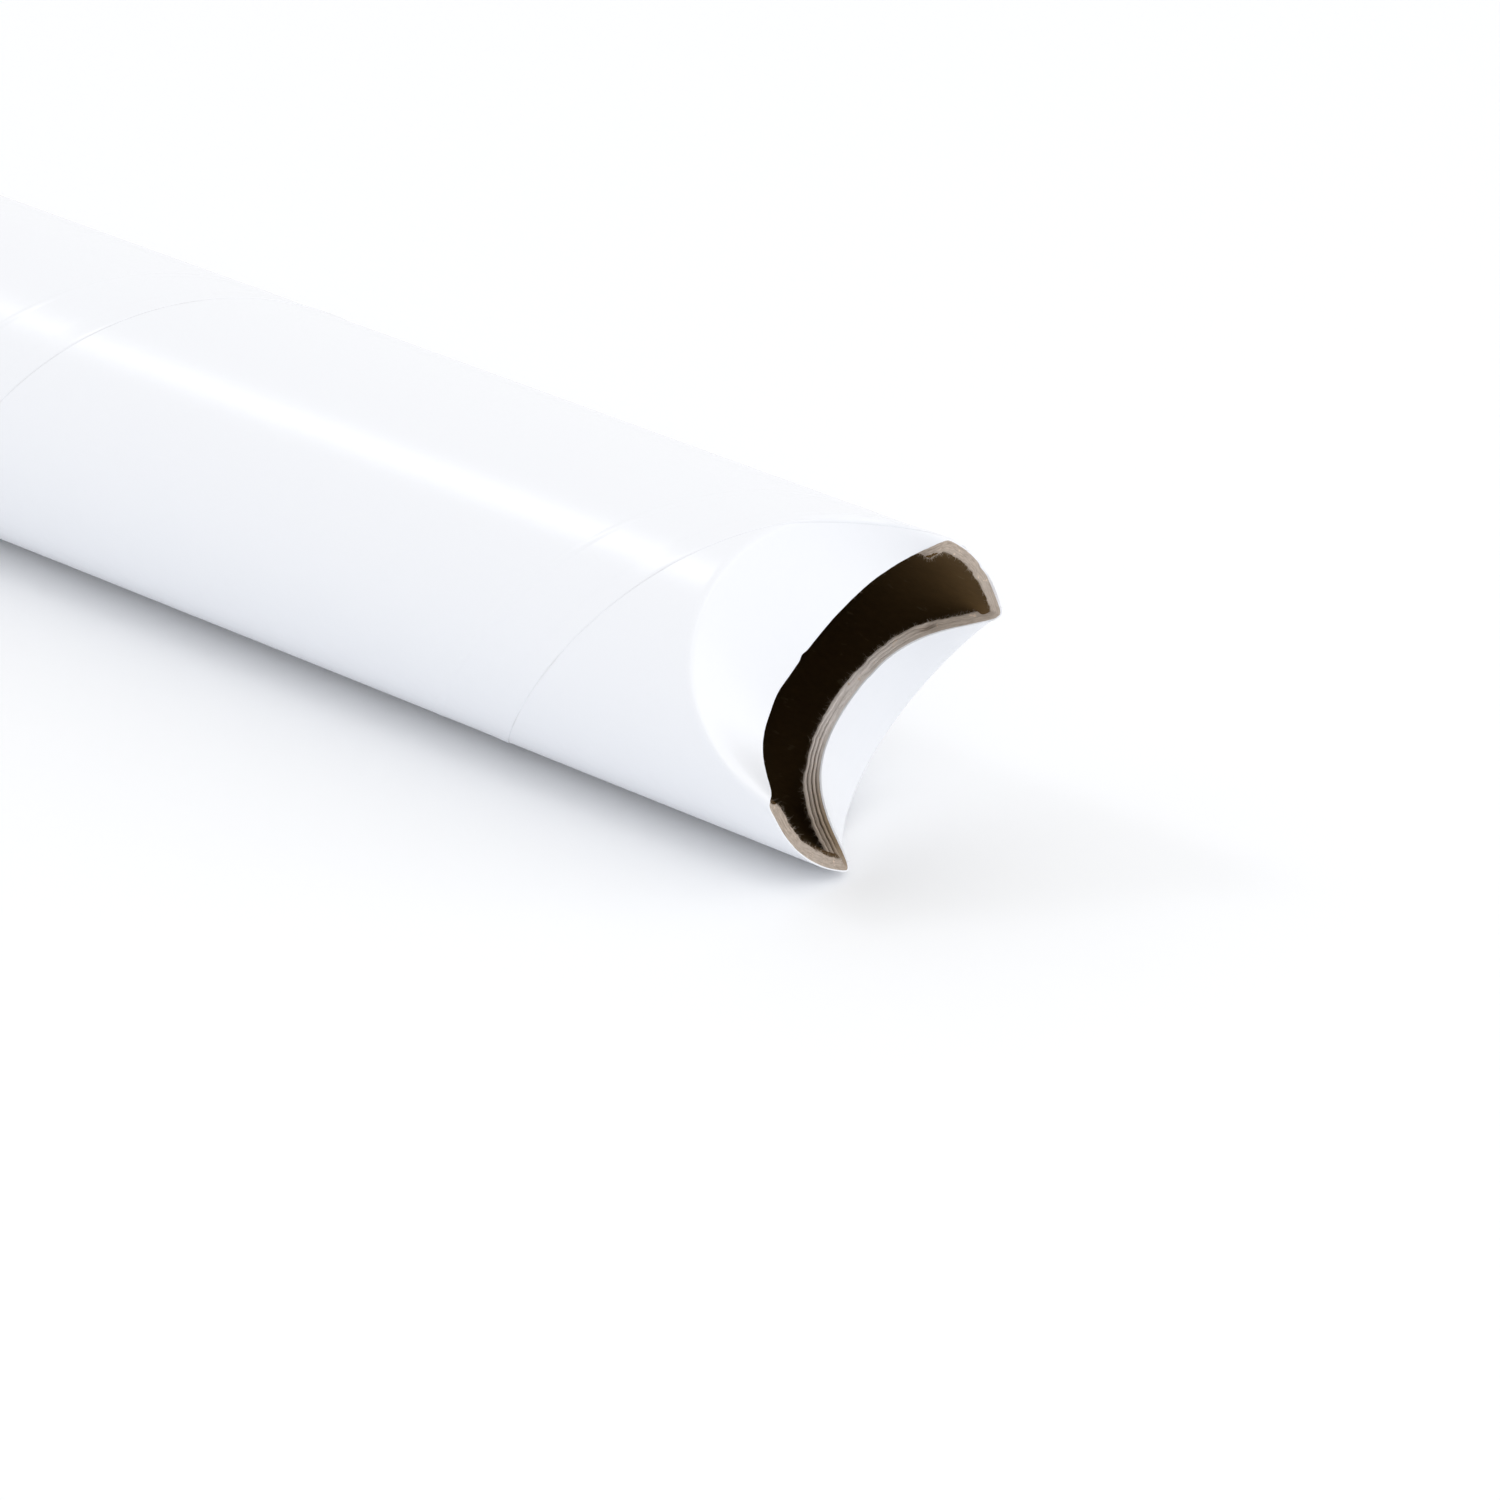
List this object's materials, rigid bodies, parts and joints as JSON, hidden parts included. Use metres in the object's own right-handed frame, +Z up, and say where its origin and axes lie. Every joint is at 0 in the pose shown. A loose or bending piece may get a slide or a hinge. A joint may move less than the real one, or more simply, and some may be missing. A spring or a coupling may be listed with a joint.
{
  "type": "crimped-end mailing tube",
  "caption": "Spiral-wound paperboard mailing tube lying on its side, each end closed by pressed-in flaps of its own wall that leave a curved slot between them.",
  "frame": {"origin": "on the ground under the middle of the lying tube", "axes": "+X along the tube, towards the end that the picture shows; +Z up; the front flap of each end faces up and towards -Y, the back flap down and towards +Y"},
  "size_m": [0.3048, 0.0548, 0.0548],
  "materials": {
    "lined_paperboard": "smooth white coated liner outside, brown kraft board inside and on the cut edges"
  },
  "bodies": {
    "root": {"mailing_tube": "lined_paperboard"}
  },
  "joints": []
}
